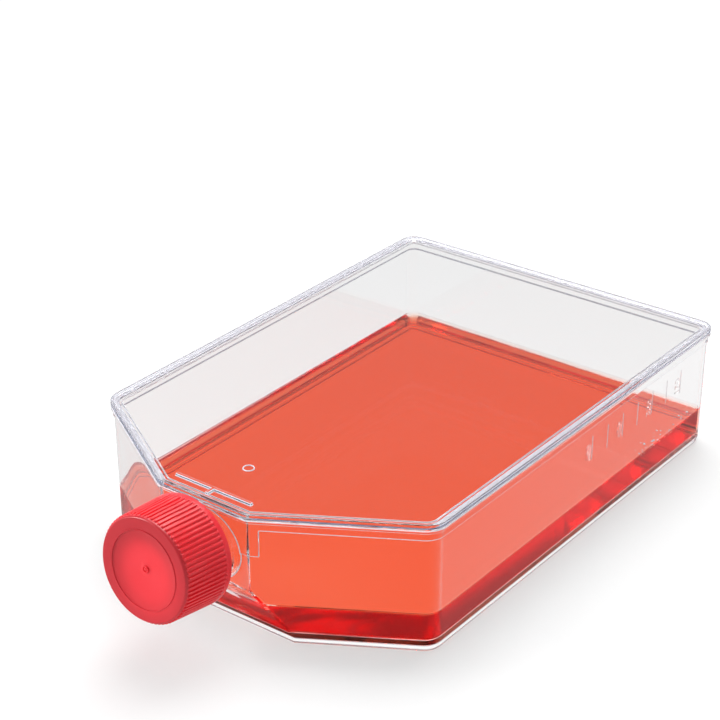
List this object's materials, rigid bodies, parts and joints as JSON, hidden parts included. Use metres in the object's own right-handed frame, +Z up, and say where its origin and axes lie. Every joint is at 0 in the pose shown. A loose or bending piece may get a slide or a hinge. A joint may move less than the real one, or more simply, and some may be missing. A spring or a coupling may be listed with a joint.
{
  "type": "cell culture flask",
  "caption": "Clear hexagonal-plan cell culture flask with a tilted neck, ribbed red screw cap, welded lid with stacking ridge, and a layer of red medium.",
  "frame": {"origin": "on the bench, under the middle of the overall box of the flask with its cap on", "axes": "+Z up, -Y along the flask towards the neck and cap, +X to the right looking along +Y from the neck end"},
  "size_m": [0.1514, 0.258, 0.0569],
  "materials": {
    "polystyrene": "clear moulded polystyrene, glossy",
    "medium": "clear orange-red liquid",
    "seal": "soft off-white foamed plastic",
    "cap_red": "red moulded polyethylene, semi-gloss"
  },
  "bodies": {
    "flask": {"flask_body": "polystyrene", "top_plate": "polystyrene", "culture_medium": "medium"},
    "seal": {"cap_liner": "seal"},
    "cap": {"screw_cap": "cap_red"}
  },
  "joints": [
    {"name": "cap_lift", "type": "slide", "parent": "flask", "child": "seal", "axis": [0, -0.9936, 0.1132], "range_m": [0, 0.02]},
    {"name": "cap_turn", "type": "hinge", "parent": "seal", "child": "cap", "pos_m": [0, -0.09746, 0.0341], "axis": [0, -0.9936, 0.1132], "range_deg": [0, 900]}
  ],
  "couplings": [
    {"joint": "cap_lift", "follows": "cap_turn", "m_per_rad": 0.0012732}
  ]
}
